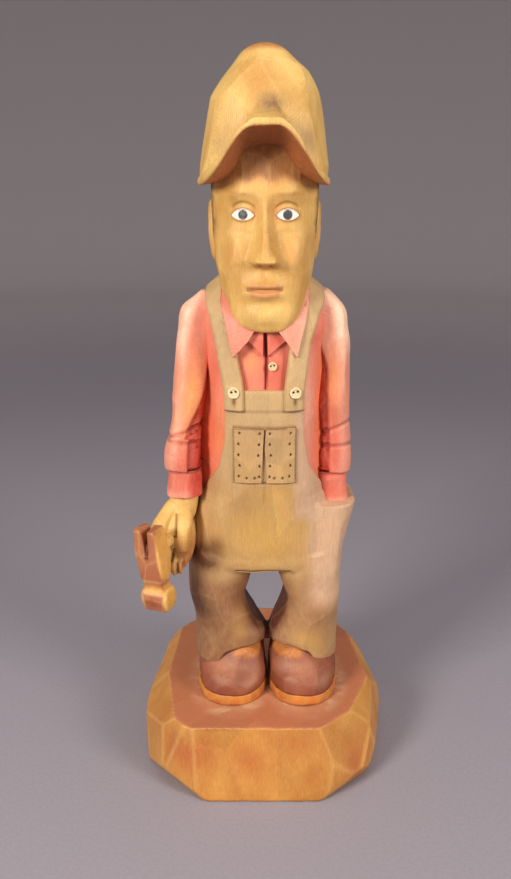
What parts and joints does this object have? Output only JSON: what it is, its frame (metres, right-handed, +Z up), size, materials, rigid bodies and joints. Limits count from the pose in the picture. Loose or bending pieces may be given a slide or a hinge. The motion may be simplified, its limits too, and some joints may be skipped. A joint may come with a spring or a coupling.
{
  "type": "carved wooden figurine",
  "caption": "Knife-carved wooden figurine of a standing workman in a cap, a shirt and bib overalls, holding a claw hammer, on a rough-cut block base.",
  "frame": {"origin": "centre of the base's underside", "axes": "+Z up, -Y the way the figure faces, +X towards the figure's own left hand"},
  "size_m": [0.0946, 0.095, 0.255],
  "materials": {
    "ochre_stain": "satin oiled basswood with an ochre stain",
    "bare_wood": "satin oiled basswood",
    "cap_stain": "satin oiled basswood with a thin brown wash in the cuts",
    "shirt_stain": "thin red wash over basswood",
    "overalls_stain": "thin brown wash over basswood",
    "shoe_stain": "brown stain over basswood",
    "hammer_stain": "brown stain over basswood",
    "button_paint": "cream paint over wood",
    "dowel_wood": "bare dowel"
  },
  "bodies": {
    "root": {"base": "ochre_stain", "left_shoe_sole": "ochre_stain", "right_shoe_sole": "ochre_stain", "head": "bare_wood", "right_hand": "bare_wood", "hammer_handle": "bare_wood", "cap": "cap_stain", "shirt_torso": "shirt_stain", "left_sleeve": "shirt_stain", "right_sleeve": "shirt_stain", "left_cuff": "shirt_stain", "right_cuff": "shirt_stain", "left_collar_wing": "shirt_stain", "right_collar_wing": "shirt_stain", "overalls": "overalls_stain", "bib_front": "overalls_stain", "overalls_back": "overalls_stain", "bib_pocket_left": "overalls_stain", "bib_pocket_right": "overalls_stain", "left_strap": "overalls_stain", "right_strap": "overalls_stain", "left_side_pocket": "overalls_stain", "left_shoe_upper": "shoe_stain", "right_shoe_upper": "shoe_stain", "hammer_head": "hammer_stain", "left_strap_button": "button_paint", "right_strap_button": "button_paint", "shirt_button": "button_paint", "left_foot_dowel": "dowel_wood", "right_foot_dowel": "dowel_wood", "neck_peg": "dowel_wood"}
  },
  "joints": []
}
